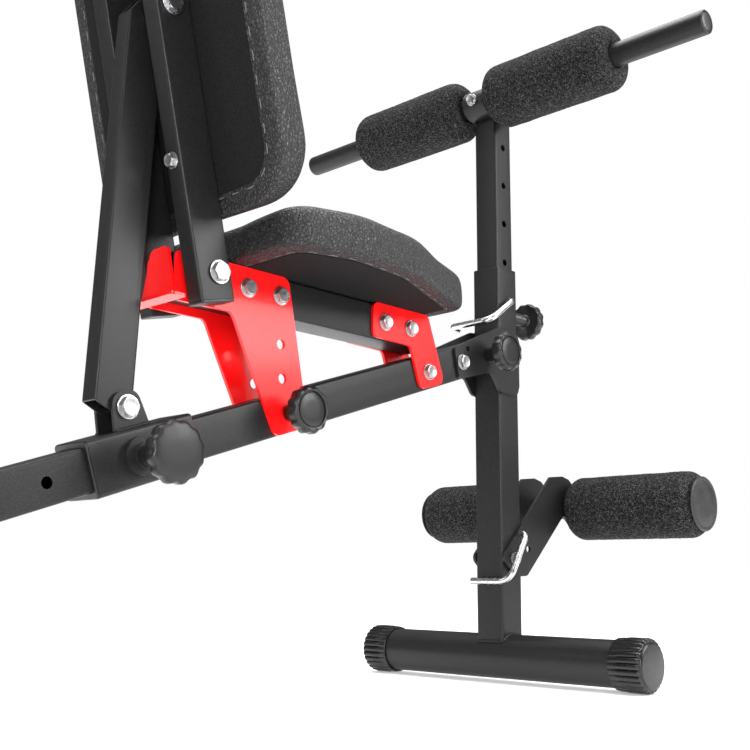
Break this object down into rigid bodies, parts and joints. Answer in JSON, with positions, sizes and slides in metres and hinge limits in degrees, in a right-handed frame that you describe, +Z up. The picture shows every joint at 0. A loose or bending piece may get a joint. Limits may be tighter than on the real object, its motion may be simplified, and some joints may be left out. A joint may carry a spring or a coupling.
{
  "type": "decline sit up bench",
  "caption": "Sit-up bench with a sloping beam, level seat, strut-held adjustable backrest and a folding post carrying upper and lower foam leg rollers.",
  "frame": {"origin": "on the floor under the middle of the bench's overall box", "axes": "+X forward along the beam towards the roller post, +Y to the left of a person on the seat, +Z up"},
  "size_m": [1.5164, 0.724, 1.1971],
  "materials": {
    "black_paint": "satin powder coat",
    "red_paint": "gloss powder coat",
    "zinc_steel": "bright plated",
    "black_plastic": "satin",
    "foam": "matte foam",
    "vinyl": "pebble grain",
    "board": "black non-woven backing"
  },
  "bodies": {
    "base": {"main_beam": "black_paint", "rear_foot_tube": "black_paint", "rear_foot_cap_left": "black_plastic", "rear_foot_cap_right": "black_plastic", "seat_beam": "black_paint", "seat_front_plate_left": "red_paint", "seat_front_plate_right": "red_paint", "seat_rear_plate_left": "red_paint", "seat_rear_plate_right": "red_paint", "back_stop": "red_paint", "seat_board": "board", "seat_pad": "vinyl", "seat_front_bolt_1": "zinc_steel", "seat_front_bolt_2": "zinc_steel", "seat_rear_bolt_1": "zinc_steel", "seat_rear_bolt_2": "zinc_steel", "seat_pivot_bolt": "zinc_steel", "back_pivot_bolt": "zinc_steel"},
    "seat_lock": {"seat_knob": "black_plastic"},
    "backrest": {"back_rail_left": "black_paint", "back_rail_right": "black_paint", "back_rail_plug_left": "black_plastic", "back_rail_plug_right": "black_plastic", "back_pad_bolt_left": "zinc_steel", "back_pad_bolt_right": "zinc_steel", "strut_top_bolt_left": "zinc_steel", "strut_top_bolt_right": "zinc_steel", "back_board": "board", "back_pad": "vinyl"},
    "slider": {"slider_sleeve": "black_paint", "strut_ear_left": "black_paint", "strut_ear_right": "black_paint", "strut_pivot_bolt": "zinc_steel"},
    "slider_lock": {"slider_knob": "black_plastic"},
    "prop": {"strut": "black_paint"},
    "post": {"front_post": "black_paint", "post_collar": "black_plastic", "post_gusset_left": "black_paint", "post_gusset_right": "black_paint", "fold_bolt": "zinc_steel", "front_foot_tube": "black_paint", "front_foot_cap_left": "black_plastic", "front_foot_cap_right": "black_plastic"},
    "fold_lock": {"fold_knob": "black_plastic"},
    "post_clamp": {"post_clamp_knob": "black_plastic"},
    "height_pin": {"post_height_pin": "zinc_steel"},
    "bracket_pin": {"bracket_lock_pin": "zinc_steel"},
    "upper_mast": {"inner_post": "black_paint", "upper_bar": "black_paint", "upper_bar_bolt": "zinc_steel"},
    "bracket": {"bracket_plate_left": "black_paint", "bracket_plate_right": "black_paint", "bracket_bolt": "zinc_steel", "lower_bar": "black_paint", "roller_disc_left": "black_plastic", "roller_disc_right": "black_plastic"},
    "upper_left": {"upper_roller_left": "foam"},
    "upper_right": {"upper_roller_right": "foam"},
    "lower_left": {"lower_roller_left": "foam"},
    "lower_right": {"lower_roller_right": "foam"}
  },
  "joints": [
    {"name": "backrest_recline", "type": "hinge", "parent": "base", "child": "backrest", "pos_m": [0.0133, 0, 0.457], "axis": [0, -1, 0], "range_deg": [0, 71.7]},
    {"name": "sleeve_slide", "type": "slide", "parent": "base", "child": "slider", "axis": [-0.9483, 0, -0.3175], "range_m": [0, 0.5082]},
    {"name": "strut_swing", "type": "hinge", "parent": "slider", "child": "prop", "pos_m": [-0.06529, 0, 0.30772], "axis": [0, 1, 0], "range_deg": [0, 39.1]},
    {"name": "sleeve_knob_pull", "type": "slide", "parent": "slider", "child": "slider_lock", "axis": [0, -1, 0], "range_m": [0, 0.012], "stiffness_N_per_m": 1000, "springref_m": -0.01},
    {"name": "seat_knob_pull", "type": "slide", "parent": "base", "child": "seat_lock", "axis": [0, -1, 0], "range_m": [0, 0.055]},
    {"name": "post_fold", "type": "hinge", "parent": "base", "child": "post", "pos_m": [0.4556, 0, 0.42917], "axis": [0, 1, 0], "range_deg": [0, 71.5]},
    {"name": "fold_knob_pull", "type": "slide", "parent": "post", "child": "fold_lock", "axis": [0, -1, 0], "range_m": [0, 0.055]},
    {"name": "mast_height", "type": "slide", "parent": "post", "child": "upper_mast", "axis": [0, 0, 1], "range_m": [-0.1779, 0]},
    {"name": "clamp_knob_turn", "type": "hinge", "parent": "post", "child": "post_clamp", "pos_m": [0.6156, 0, 0.522], "axis": [1, 0, 0], "range_deg": [0, 360]},
    {"name": "height_pin_pull", "type": "slide", "parent": "post", "child": "height_pin", "axis": [0, -1, 0], "range_m": [0, 0.06]},
    {"name": "bracket_pin_pull", "type": "slide", "parent": "post", "child": "bracket_pin", "axis": [0, -1, 0], "range_m": [0, 0.06]},
    {"name": "bracket_swing", "type": "hinge", "parent": "post", "child": "bracket", "pos_m": [0.5656, 0, 0.167], "axis": [0, -1, 0], "range_deg": [0, 48]},
    {"name": "upper_left_roll", "type": "hinge", "parent": "upper_mast", "child": "upper_left", "pos_m": [0.5386, 0.135, 0.839], "axis": [0, 1, 0], "continuous": true},
    {"name": "upper_right_roll", "type": "hinge", "parent": "upper_mast", "child": "upper_right", "pos_m": [0.5386, -0.135, 0.839], "axis": [0, 1, 0], "continuous": true},
    {"name": "lower_left_roll", "type": "hinge", "parent": "bracket", "child": "lower_left", "pos_m": [0.7126, 0.1425, 0.2416], "axis": [0, 1, 0], "continuous": true},
    {"name": "lower_right_roll", "type": "hinge", "parent": "bracket", "child": "lower_right", "pos_m": [0.7126, -0.1425, 0.2416], "axis": [0, 1, 0], "continuous": true}
  ],
  "couplings": [
    {"joint": "sleeve_slide", "follows": "backrest_recline", "m_per_rad": 0.40594},
    {"joint": "strut_swing", "follows": "backrest_recline", "ratio": 0.54393}
  ]
}
